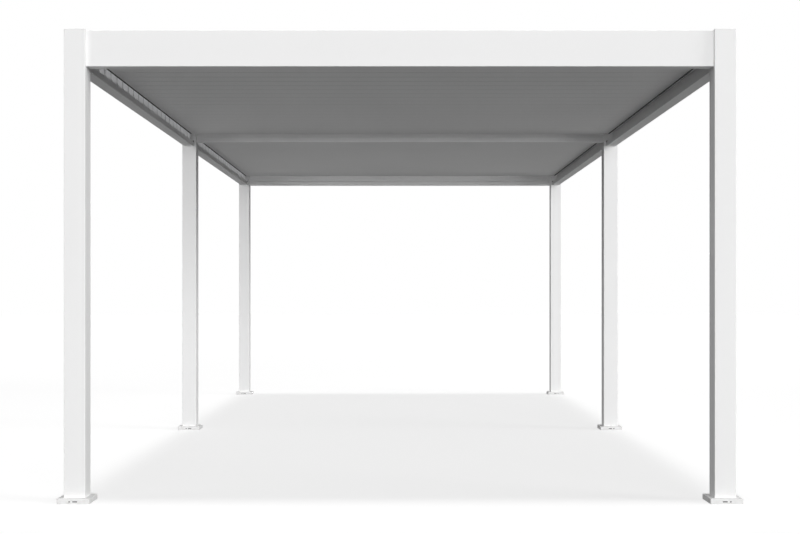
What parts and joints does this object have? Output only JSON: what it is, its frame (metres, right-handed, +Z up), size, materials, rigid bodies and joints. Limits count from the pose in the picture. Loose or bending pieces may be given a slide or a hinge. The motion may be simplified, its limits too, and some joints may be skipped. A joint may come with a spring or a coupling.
{
  "type": "louvred aluminium pergola",
  "caption": "Freestanding white aluminium pergola: square posts, gutter beams and two bays of tilting roof louvres, each bay worked by one link bar.",
  "frame": {"origin": "on the floor at the middle of the footprint, under the foot plates", "axes": "+X to the right seen from the front, +Y from front to back along the two bays, +Z up"},
  "size_m": [3.661, 7.261, 2.54],
  "materials": {
    "white_powder_coat": "satin white powder coat",
    "louvre_powder_coat": "satin white powder coat",
    "mill_aluminium": "plain extruded bar"
  },
  "bodies": {
    "frame": {"front_left_post": "white_powder_coat", "front_right_post": "white_powder_coat", "mid_left_post": "white_powder_coat", "mid_right_post": "white_powder_coat", "rear_left_post": "white_powder_coat", "rear_right_post": "white_powder_coat", "front_beam": "white_powder_coat", "mid_beam": "white_powder_coat", "rear_beam": "white_powder_coat", "front_left_side_beam": "white_powder_coat", "rear_left_side_beam": "white_powder_coat", "front_right_side_beam": "white_powder_coat", "rear_right_side_beam": "white_powder_coat"},
    "front_louvre_01": {"front_louvre_01": "louvre_powder_coat"},
    "front_louvre_02": {"front_louvre_02": "louvre_powder_coat"},
    "front_louvre_03": {"front_louvre_03": "louvre_powder_coat"},
    "front_louvre_04": {"front_louvre_04": "louvre_powder_coat"},
    "front_louvre_05": {"front_louvre_05": "louvre_powder_coat"},
    "front_louvre_06": {"front_louvre_06": "louvre_powder_coat"},
    "front_louvre_07": {"front_louvre_07": "louvre_powder_coat"},
    "front_louvre_08": {"front_louvre_08": "louvre_powder_coat"},
    "front_louvre_09": {"front_louvre_09": "louvre_powder_coat"},
    "front_louvre_10": {"front_louvre_10": "louvre_powder_coat"},
    "front_louvre_11": {"front_louvre_11": "louvre_powder_coat"},
    "front_louvre_12": {"front_louvre_12": "louvre_powder_coat"},
    "front_louvre_13": {"front_louvre_13": "louvre_powder_coat"},
    "front_louvre_14": {"front_louvre_14": "louvre_powder_coat"},
    "front_louvre_15": {"front_louvre_15": "louvre_powder_coat"},
    "front_louvre_16": {"front_louvre_16": "louvre_powder_coat"},
    "front_louvre_17": {"front_louvre_17": "louvre_powder_coat"},
    "front_louvre_18": {"front_louvre_18": "louvre_powder_coat"},
    "front_louvre_19": {"front_louvre_19": "louvre_powder_coat"},
    "front_louvre_20": {"front_louvre_20": "louvre_powder_coat"},
    "front_louvre_21": {"front_louvre_21": "louvre_powder_coat"},
    "front_louvre_22": {"front_louvre_22": "louvre_powder_coat"},
    "front_link_bar": {"front_link_bar": "mill_aluminium"},
    "rear_louvre_01": {"rear_louvre_01": "louvre_powder_coat"},
    "rear_louvre_02": {"rear_louvre_02": "louvre_powder_coat"},
    "rear_louvre_03": {"rear_louvre_03": "louvre_powder_coat"},
    "rear_louvre_04": {"rear_louvre_04": "louvre_powder_coat"},
    "rear_louvre_05": {"rear_louvre_05": "louvre_powder_coat"},
    "rear_louvre_06": {"rear_louvre_06": "louvre_powder_coat"},
    "rear_louvre_07": {"rear_louvre_07": "louvre_powder_coat"},
    "rear_louvre_08": {"rear_louvre_08": "louvre_powder_coat"},
    "rear_louvre_09": {"rear_louvre_09": "louvre_powder_coat"},
    "rear_louvre_10": {"rear_louvre_10": "louvre_powder_coat"},
    "rear_louvre_11": {"rear_louvre_11": "louvre_powder_coat"},
    "rear_louvre_12": {"rear_louvre_12": "louvre_powder_coat"},
    "rear_louvre_13": {"rear_louvre_13": "louvre_powder_coat"},
    "rear_louvre_14": {"rear_louvre_14": "louvre_powder_coat"},
    "rear_louvre_15": {"rear_louvre_15": "louvre_powder_coat"},
    "rear_louvre_16": {"rear_louvre_16": "louvre_powder_coat"},
    "rear_louvre_17": {"rear_louvre_17": "louvre_powder_coat"},
    "rear_louvre_18": {"rear_louvre_18": "louvre_powder_coat"},
    "rear_louvre_19": {"rear_louvre_19": "louvre_powder_coat"},
    "rear_louvre_20": {"rear_louvre_20": "louvre_powder_coat"},
    "rear_louvre_21": {"rear_louvre_21": "louvre_powder_coat"},
    "rear_louvre_22": {"rear_louvre_22": "louvre_powder_coat"},
    "rear_link_bar": {"rear_link_bar": "mill_aluminium"}
  },
  "joints": [
    {"name": "front_louvre_01_tilt", "type": "hinge", "parent": "frame", "child": "front_louvre_01", "pos_m": [0, -3.37985, 2.46399], "axis": [-1, 0, 0], "range_deg": [0, 90]},
    {"name": "front_louvre_02_tilt", "type": "hinge", "parent": "frame", "child": "front_louvre_02", "pos_m": [0, -3.22665, 2.46399], "axis": [-1, 0, 0], "range_deg": [0, 90]},
    {"name": "front_louvre_03_tilt", "type": "hinge", "parent": "frame", "child": "front_louvre_03", "pos_m": [0, -3.07345, 2.46399], "axis": [-1, 0, 0], "range_deg": [0, 90]},
    {"name": "front_louvre_04_tilt", "type": "hinge", "parent": "frame", "child": "front_louvre_04", "pos_m": [0, -2.92025, 2.46399], "axis": [-1, 0, 0], "range_deg": [0, 90]},
    {"name": "front_louvre_05_tilt", "type": "hinge", "parent": "frame", "child": "front_louvre_05", "pos_m": [0, -2.76705, 2.46399], "axis": [-1, 0, 0], "range_deg": [0, 90]},
    {"name": "front_louvre_06_tilt", "type": "hinge", "parent": "frame", "child": "front_louvre_06", "pos_m": [0, -2.61385, 2.46399], "axis": [-1, 0, 0], "range_deg": [0, 90]},
    {"name": "front_louvre_07_tilt", "type": "hinge", "parent": "frame", "child": "front_louvre_07", "pos_m": [0, -2.46065, 2.46399], "axis": [-1, 0, 0], "range_deg": [0, 90]},
    {"name": "front_louvre_08_tilt", "type": "hinge", "parent": "frame", "child": "front_louvre_08", "pos_m": [0, -2.30745, 2.46399], "axis": [-1, 0, 0], "range_deg": [0, 90]},
    {"name": "front_louvre_09_tilt", "type": "hinge", "parent": "frame", "child": "front_louvre_09", "pos_m": [0, -2.15425, 2.46399], "axis": [-1, 0, 0], "range_deg": [0, 90]},
    {"name": "front_louvre_10_tilt", "type": "hinge", "parent": "frame", "child": "front_louvre_10", "pos_m": [0, -2.00105, 2.46399], "axis": [-1, 0, 0], "range_deg": [0, 90]},
    {"name": "front_louvre_11_tilt", "type": "hinge", "parent": "frame", "child": "front_louvre_11", "pos_m": [0, -1.84785, 2.46399], "axis": [-1, 0, 0], "range_deg": [0, 90]},
    {"name": "front_louvre_12_tilt", "type": "hinge", "parent": "frame", "child": "front_louvre_12", "pos_m": [0, -1.69465, 2.46399], "axis": [-1, 0, 0], "range_deg": [0, 90]},
    {"name": "front_louvre_13_tilt", "type": "hinge", "parent": "frame", "child": "front_louvre_13", "pos_m": [0, -1.54145, 2.46399], "axis": [-1, 0, 0], "range_deg": [0, 90]},
    {"name": "front_louvre_14_tilt", "type": "hinge", "parent": "frame", "child": "front_louvre_14", "pos_m": [0, -1.38825, 2.46399], "axis": [-1, 0, 0], "range_deg": [0, 90]},
    {"name": "front_louvre_15_tilt", "type": "hinge", "parent": "frame", "child": "front_louvre_15", "pos_m": [0, -1.23505, 2.46399], "axis": [-1, 0, 0], "range_deg": [0, 90]},
    {"name": "front_louvre_16_tilt", "type": "hinge", "parent": "frame", "child": "front_louvre_16", "pos_m": [0, -1.08185, 2.46399], "axis": [-1, 0, 0], "range_deg": [0, 90]},
    {"name": "front_louvre_17_tilt", "type": "hinge", "parent": "frame", "child": "front_louvre_17", "pos_m": [0, -0.92865, 2.46399], "axis": [-1, 0, 0], "range_deg": [0, 90]},
    {"name": "front_louvre_18_tilt", "type": "hinge", "parent": "frame", "child": "front_louvre_18", "pos_m": [0, -0.77545, 2.46399], "axis": [-1, 0, 0], "range_deg": [0, 90]},
    {"name": "front_louvre_19_tilt", "type": "hinge", "parent": "frame", "child": "front_louvre_19", "pos_m": [0, -0.62225, 2.46399], "axis": [-1, 0, 0], "range_deg": [0, 90]},
    {"name": "front_louvre_20_tilt", "type": "hinge", "parent": "frame", "child": "front_louvre_20", "pos_m": [0, -0.46905, 2.46399], "axis": [-1, 0, 0], "range_deg": [0, 90]},
    {"name": "front_louvre_21_tilt", "type": "hinge", "parent": "frame", "child": "front_louvre_21", "pos_m": [0, -0.31585, 2.46399], "axis": [-1, 0, 0], "range_deg": [0, 90]},
    {"name": "front_louvre_22_tilt", "type": "hinge", "parent": "frame", "child": "front_louvre_22", "pos_m": [0, -0.16265, 2.46399], "axis": [-1, 0, 0], "range_deg": [0, 90]},
    {"name": "front_link_bar_pivot", "type": "hinge", "parent": "front_louvre_01", "child": "front_link_bar", "pos_m": [-1.733, -3.3136, 2.38777], "axis": [-1, 0, 0], "range_deg": [-90, 0]},
    {"name": "rear_louvre_01_tilt", "type": "hinge", "parent": "frame", "child": "rear_louvre_01", "pos_m": [0, 0.16265, 2.46399], "axis": [-1, 0, 0], "range_deg": [0, 90]},
    {"name": "rear_louvre_02_tilt", "type": "hinge", "parent": "frame", "child": "rear_louvre_02", "pos_m": [0, 0.31585, 2.46399], "axis": [-1, 0, 0], "range_deg": [0, 90]},
    {"name": "rear_louvre_03_tilt", "type": "hinge", "parent": "frame", "child": "rear_louvre_03", "pos_m": [0, 0.46905, 2.46399], "axis": [-1, 0, 0], "range_deg": [0, 90]},
    {"name": "rear_louvre_04_tilt", "type": "hinge", "parent": "frame", "child": "rear_louvre_04", "pos_m": [0, 0.62225, 2.46399], "axis": [-1, 0, 0], "range_deg": [0, 90]},
    {"name": "rear_louvre_05_tilt", "type": "hinge", "parent": "frame", "child": "rear_louvre_05", "pos_m": [0, 0.77545, 2.46399], "axis": [-1, 0, 0], "range_deg": [0, 90]},
    {"name": "rear_louvre_06_tilt", "type": "hinge", "parent": "frame", "child": "rear_louvre_06", "pos_m": [0, 0.92865, 2.46399], "axis": [-1, 0, 0], "range_deg": [0, 90]},
    {"name": "rear_louvre_07_tilt", "type": "hinge", "parent": "frame", "child": "rear_louvre_07", "pos_m": [0, 1.08185, 2.46399], "axis": [-1, 0, 0], "range_deg": [0, 90]},
    {"name": "rear_louvre_08_tilt", "type": "hinge", "parent": "frame", "child": "rear_louvre_08", "pos_m": [0, 1.23505, 2.46399], "axis": [-1, 0, 0], "range_deg": [0, 90]},
    {"name": "rear_louvre_09_tilt", "type": "hinge", "parent": "frame", "child": "rear_louvre_09", "pos_m": [0, 1.38825, 2.46399], "axis": [-1, 0, 0], "range_deg": [0, 90]},
    {"name": "rear_louvre_10_tilt", "type": "hinge", "parent": "frame", "child": "rear_louvre_10", "pos_m": [0, 1.54145, 2.46399], "axis": [-1, 0, 0], "range_deg": [0, 90]},
    {"name": "rear_louvre_11_tilt", "type": "hinge", "parent": "frame", "child": "rear_louvre_11", "pos_m": [0, 1.69465, 2.46399], "axis": [-1, 0, 0], "range_deg": [0, 90]},
    {"name": "rear_louvre_12_tilt", "type": "hinge", "parent": "frame", "child": "rear_louvre_12", "pos_m": [0, 1.84785, 2.46399], "axis": [-1, 0, 0], "range_deg": [0, 90]},
    {"name": "rear_louvre_13_tilt", "type": "hinge", "parent": "frame", "child": "rear_louvre_13", "pos_m": [0, 2.00105, 2.46399], "axis": [-1, 0, 0], "range_deg": [0, 90]},
    {"name": "rear_louvre_14_tilt", "type": "hinge", "parent": "frame", "child": "rear_louvre_14", "pos_m": [0, 2.15425, 2.46399], "axis": [-1, 0, 0], "range_deg": [0, 90]},
    {"name": "rear_louvre_15_tilt", "type": "hinge", "parent": "frame", "child": "rear_louvre_15", "pos_m": [0, 2.30745, 2.46399], "axis": [-1, 0, 0], "range_deg": [0, 90]},
    {"name": "rear_louvre_16_tilt", "type": "hinge", "parent": "frame", "child": "rear_louvre_16", "pos_m": [0, 2.46065, 2.46399], "axis": [-1, 0, 0], "range_deg": [0, 90]},
    {"name": "rear_louvre_17_tilt", "type": "hinge", "parent": "frame", "child": "rear_louvre_17", "pos_m": [0, 2.61385, 2.46399], "axis": [-1, 0, 0], "range_deg": [0, 90]},
    {"name": "rear_louvre_18_tilt", "type": "hinge", "parent": "frame", "child": "rear_louvre_18", "pos_m": [0, 2.76705, 2.46399], "axis": [-1, 0, 0], "range_deg": [0, 90]},
    {"name": "rear_louvre_19_tilt", "type": "hinge", "parent": "frame", "child": "rear_louvre_19", "pos_m": [0, 2.92025, 2.46399], "axis": [-1, 0, 0], "range_deg": [0, 90]},
    {"name": "rear_louvre_20_tilt", "type": "hinge", "parent": "frame", "child": "rear_louvre_20", "pos_m": [0, 3.07345, 2.46399], "axis": [-1, 0, 0], "range_deg": [0, 90]},
    {"name": "rear_louvre_21_tilt", "type": "hinge", "parent": "frame", "child": "rear_louvre_21", "pos_m": [0, 3.22665, 2.46399], "axis": [-1, 0, 0], "range_deg": [0, 90]},
    {"name": "rear_louvre_22_tilt", "type": "hinge", "parent": "frame", "child": "rear_louvre_22", "pos_m": [0, 3.37985, 2.46399], "axis": [-1, 0, 0], "range_deg": [0, 90]},
    {"name": "rear_link_bar_pivot", "type": "hinge", "parent": "rear_louvre_01", "child": "rear_link_bar", "pos_m": [-1.733, 0.2289, 2.38777], "axis": [-1, 0, 0], "range_deg": [-90, 0]}
  ],
  "couplings": [
    {"joint": "front_louvre_02_tilt", "follows": "front_louvre_01_tilt", "ratio": 1},
    {"joint": "front_louvre_03_tilt", "follows": "front_louvre_01_tilt", "ratio": 1},
    {"joint": "front_louvre_04_tilt", "follows": "front_louvre_01_tilt", "ratio": 1},
    {"joint": "front_louvre_05_tilt", "follows": "front_louvre_01_tilt", "ratio": 1},
    {"joint": "front_louvre_06_tilt", "follows": "front_louvre_01_tilt", "ratio": 1},
    {"joint": "front_louvre_07_tilt", "follows": "front_louvre_01_tilt", "ratio": 1},
    {"joint": "front_louvre_08_tilt", "follows": "front_louvre_01_tilt", "ratio": 1},
    {"joint": "front_louvre_09_tilt", "follows": "front_louvre_01_tilt", "ratio": 1},
    {"joint": "front_louvre_10_tilt", "follows": "front_louvre_01_tilt", "ratio": 1},
    {"joint": "front_louvre_11_tilt", "follows": "front_louvre_01_tilt", "ratio": 1},
    {"joint": "front_louvre_12_tilt", "follows": "front_louvre_01_tilt", "ratio": 1},
    {"joint": "front_louvre_13_tilt", "follows": "front_louvre_01_tilt", "ratio": 1},
    {"joint": "front_louvre_14_tilt", "follows": "front_louvre_01_tilt", "ratio": 1},
    {"joint": "front_louvre_15_tilt", "follows": "front_louvre_01_tilt", "ratio": 1},
    {"joint": "front_louvre_16_tilt", "follows": "front_louvre_01_tilt", "ratio": 1},
    {"joint": "front_louvre_17_tilt", "follows": "front_louvre_01_tilt", "ratio": 1},
    {"joint": "front_louvre_18_tilt", "follows": "front_louvre_01_tilt", "ratio": 1},
    {"joint": "front_louvre_19_tilt", "follows": "front_louvre_01_tilt", "ratio": 1},
    {"joint": "front_louvre_20_tilt", "follows": "front_louvre_01_tilt", "ratio": 1},
    {"joint": "front_louvre_21_tilt", "follows": "front_louvre_01_tilt", "ratio": 1},
    {"joint": "front_louvre_22_tilt", "follows": "front_louvre_01_tilt", "ratio": 1},
    {"joint": "front_link_bar_pivot", "follows": "front_louvre_01_tilt", "ratio": -1},
    {"joint": "rear_louvre_02_tilt", "follows": "rear_louvre_01_tilt", "ratio": 1},
    {"joint": "rear_louvre_03_tilt", "follows": "rear_louvre_01_tilt", "ratio": 1},
    {"joint": "rear_louvre_04_tilt", "follows": "rear_louvre_01_tilt", "ratio": 1},
    {"joint": "rear_louvre_05_tilt", "follows": "rear_louvre_01_tilt", "ratio": 1},
    {"joint": "rear_louvre_06_tilt", "follows": "rear_louvre_01_tilt", "ratio": 1},
    {"joint": "rear_louvre_07_tilt", "follows": "rear_louvre_01_tilt", "ratio": 1},
    {"joint": "rear_louvre_08_tilt", "follows": "rear_louvre_01_tilt", "ratio": 1},
    {"joint": "rear_louvre_09_tilt", "follows": "rear_louvre_01_tilt", "ratio": 1},
    {"joint": "rear_louvre_10_tilt", "follows": "rear_louvre_01_tilt", "ratio": 1},
    {"joint": "rear_louvre_11_tilt", "follows": "rear_louvre_01_tilt", "ratio": 1},
    {"joint": "rear_louvre_12_tilt", "follows": "rear_louvre_01_tilt", "ratio": 1},
    {"joint": "rear_louvre_13_tilt", "follows": "rear_louvre_01_tilt", "ratio": 1},
    {"joint": "rear_louvre_14_tilt", "follows": "rear_louvre_01_tilt", "ratio": 1},
    {"joint": "rear_louvre_15_tilt", "follows": "rear_louvre_01_tilt", "ratio": 1},
    {"joint": "rear_louvre_16_tilt", "follows": "rear_louvre_01_tilt", "ratio": 1},
    {"joint": "rear_louvre_17_tilt", "follows": "rear_louvre_01_tilt", "ratio": 1},
    {"joint": "rear_louvre_18_tilt", "follows": "rear_louvre_01_tilt", "ratio": 1},
    {"joint": "rear_louvre_19_tilt", "follows": "rear_louvre_01_tilt", "ratio": 1},
    {"joint": "rear_louvre_20_tilt", "follows": "rear_louvre_01_tilt", "ratio": 1},
    {"joint": "rear_louvre_21_tilt", "follows": "rear_louvre_01_tilt", "ratio": 1},
    {"joint": "rear_louvre_22_tilt", "follows": "rear_louvre_01_tilt", "ratio": 1},
    {"joint": "rear_link_bar_pivot", "follows": "rear_louvre_01_tilt", "ratio": -1}
  ]
}
